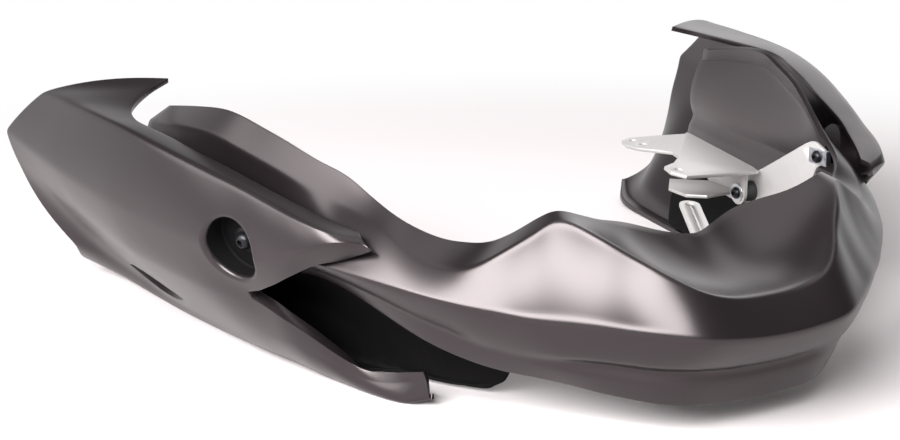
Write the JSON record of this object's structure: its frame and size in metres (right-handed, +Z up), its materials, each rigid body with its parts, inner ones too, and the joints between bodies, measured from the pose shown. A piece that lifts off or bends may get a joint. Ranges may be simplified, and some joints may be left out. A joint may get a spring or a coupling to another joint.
{
  "type": "motorcycle belly pan",
  "caption": "Boomerang-shaped motorcycle belly pan: a nose moulding with two swept side wings, outlets, vent slits and metal fixing brackets.",
  "frame": {"origin": "middle of the footprint on the table, at the middle plane of the pan", "axes": "+X to the pan's side that carries the engine bracket, +Y to the rear of the wings, +Z up"},
  "size_m": [0.52, 0.464, 0.143],
  "materials": {
    "moulded_abs": "matte",
    "black_plastic": "matte",
    "bracket_steel": "satin",
    "zinc_steel": "satin",
    "black_steel": "satin",
    "rubber": "matte"
  },
  "bodies": {
    "root": {"nose_moulding": "moulded_abs", "left_wing": "moulded_abs", "right_wing": "moulded_abs", "left_outlet_liner": "black_plastic", "right_outlet_liner": "black_plastic", "left_bonding_blocks": "black_plastic", "right_bonding_blocks": "black_plastic", "left_bolt_pad": "black_plastic", "right_bolt_pad": "black_plastic", "wing_bolts": "black_steel", "wing_bolt_washers": "black_steel", "left_bracket_pad": "black_plastic", "right_bracket_pad": "black_plastic", "left_side_bracket": "bracket_steel", "right_side_bracket": "bracket_steel", "bracket_screws": "black_steel", "clip_nuts": "zinc_steel", "rubber_bushes": "rubber", "bush_sleeves": "zinc_steel", "bush_screws": "black_steel", "bush_washers": "zinc_steel", "bush_nuts": "zinc_steel", "engine_bracket": "bracket_steel", "strap_pads": "black_plastic", "front_straps": "bracket_steel", "strap_screws": "black_steel"}
  },
  "joints": []
}
